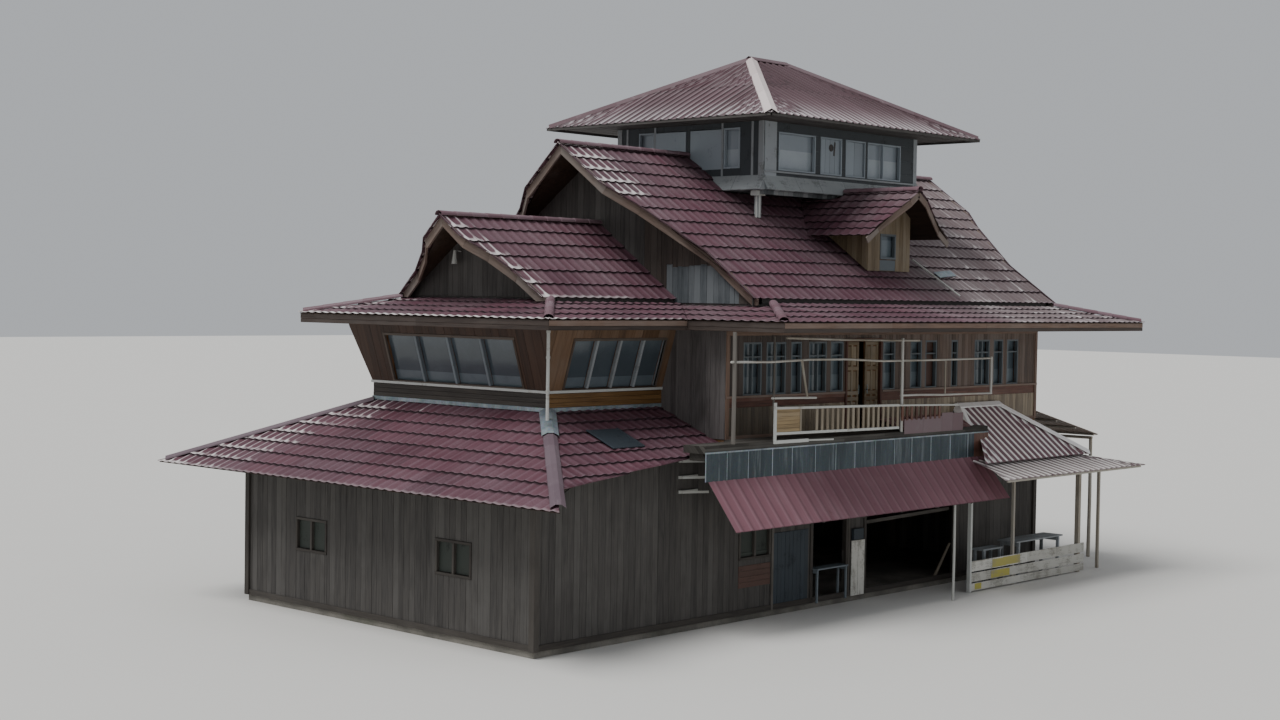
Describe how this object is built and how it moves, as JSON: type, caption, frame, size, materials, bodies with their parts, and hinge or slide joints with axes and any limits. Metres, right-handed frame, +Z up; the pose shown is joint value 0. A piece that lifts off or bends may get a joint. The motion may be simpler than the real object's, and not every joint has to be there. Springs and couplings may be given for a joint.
{
  "type": "timber house with stepped gable roofs and a rooftop lookout",
  "caption": "Timber house with stepped gable roofs, a hipped lookout on the ridge, a low front roof, a side balcony over an awning and a small porch.",
  "frame": {"origin": "centre of the bounding box, at ground level", "axes": "+Z up, +Y along the ridge from the front gable to the back, +X to the balcony side"},
  "size_m": [13.1, 21.55, 12.4293],
  "materials": {
    "tile_red": "dusty maroon coated sheet tiles",
    "ribbed_red": "faded maroon ribbed sheet",
    "varnished_wood": "orange-brown varnish",
    "dark_wood": "dark weathered planks",
    "barge_wood": "brown paint, worn",
    "grey_wood": "grey weathered boards",
    "zinc": "blue-grey zinc sheet",
    "pale_wood": "pale weathered wood",
    "concrete": "rough concrete",
    "glass": "clear, dusty"
  },
  "bodies": {
    "root": {"eave_skirt_roof": "tile_red", "eave_soffit": "barge_wood", "front_gable_roof": "tile_red", "front_barge_boards": "barge_wood", "front_gable_wall": "dark_wood", "main_roof": "tile_red", "main_barge_front": "barge_wood", "main_barge_back": "barge_wood", "main_gable_front": "grey_wood", "main_gable_back": "grey_wood", "dormer_roof": "tile_red", "dormer_walls": "varnished_wood", "dormer_glass": "glass", "lookout_floor": "grey_wood", "lookout_walls": "grey_wood", "lookout_glass": "glass", "lookout_roof": "ribbed_red", "upper_floor": "varnished_wood", "upper_front_wall": "dark_wood", "upper_right_wall": "varnished_wood", "upper_left_wall": "varnished_wood", "upper_back_wall": "varnished_wood", "upper_glass": "glass", "front_room_band": "dark_wood", "front_window_wall": "varnished_wood", "right_window_wall": "varnished_wood", "left_window_wall": "varnished_wood", "front_room_glass": "glass", "low_front_roof": "tile_red", "corner_pipe": "pale_wood", "ground_slab": "concrete", "lower_right_wall": "dark_wood", "lower_left_wall": "dark_wood", "lower_front_wall": "dark_wood", "lower_back_wall": "dark_wood", "balcony_deck": "dark_wood", "balcony_zinc_strip": "zinc", "awning_roof": "ribbed_red", "balcony_poles": "pale_wood", "balcony_balustrade": "pale_wood", "balcony_joists": "dark_wood", "balcony_door": "varnished_wood", "balcony_end_sheet": "ribbed_red", "side_bench": "pale_wood", "porch_bench": "pale_wood", "awning_post": "pale_wood", "porch_roof": "ribbed_red", "porch_skirt": "ribbed_red", "porch_frame": "pale_wood", "porch_parapet": "pale_wood", "back_roof": "tile_red", "back_roof_posts": "pale_wood"}
  },
  "joints": []
}
